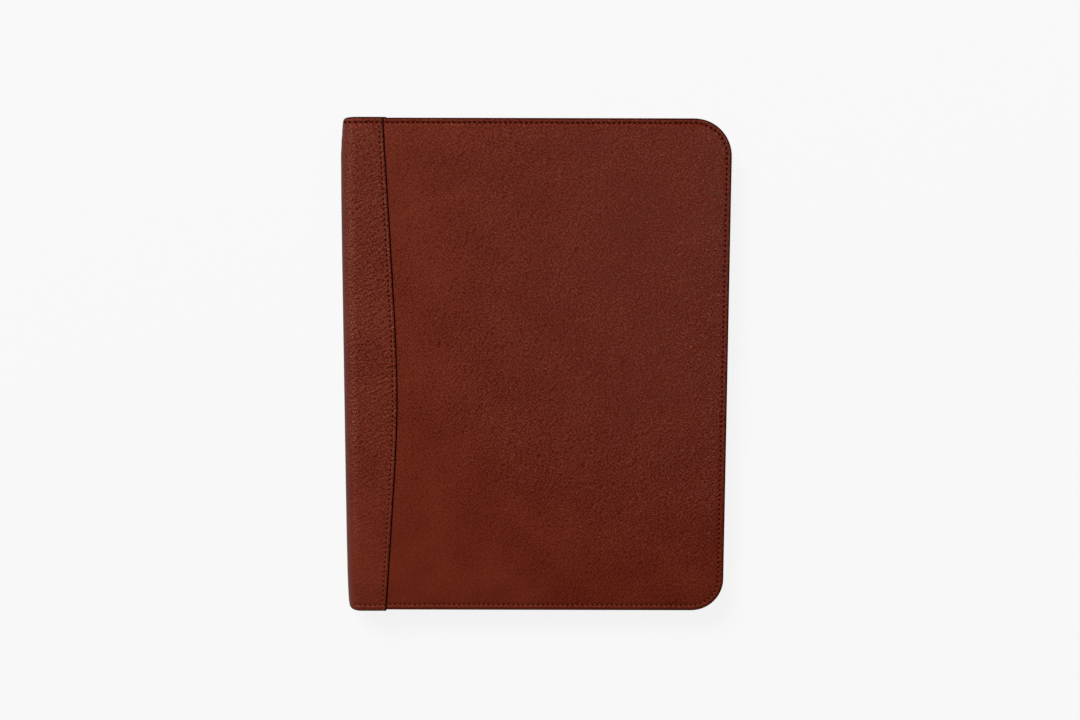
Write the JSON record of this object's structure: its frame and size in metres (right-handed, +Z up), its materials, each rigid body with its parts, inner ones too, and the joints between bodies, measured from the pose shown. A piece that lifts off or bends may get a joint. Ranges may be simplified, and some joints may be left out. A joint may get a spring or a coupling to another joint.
{
  "type": "zippered file folio",
  "caption": "Closed zip-around leather file folio with padded covers, rounded fore-edge corners and a spine wrap that laps onto both covers.",
  "frame": {"origin": "centre of the bounding box's underside, where the closed folio rests on its back cover", "axes": "+Z up out of the front cover, +Y along the spine towards the head, +X from the spine towards the fore edge"},
  "size_m": [0.26, 0.337, 0.025],
  "materials": {
    "leather": "fine pebbled grain, satin, with painted edges",
    "zip_cloth": "woven tape",
    "zip_metal": "polished, slightly worn"
  },
  "bodies": {
    "root": {"front_cover": "leather", "back_cover": "leather", "spine_wrap": "leather", "zip_tape_front": "zip_cloth", "zip_tape_back": "zip_cloth", "zip_chain": "zip_metal", "zip_slider": "zip_metal"}
  },
  "joints": []
}
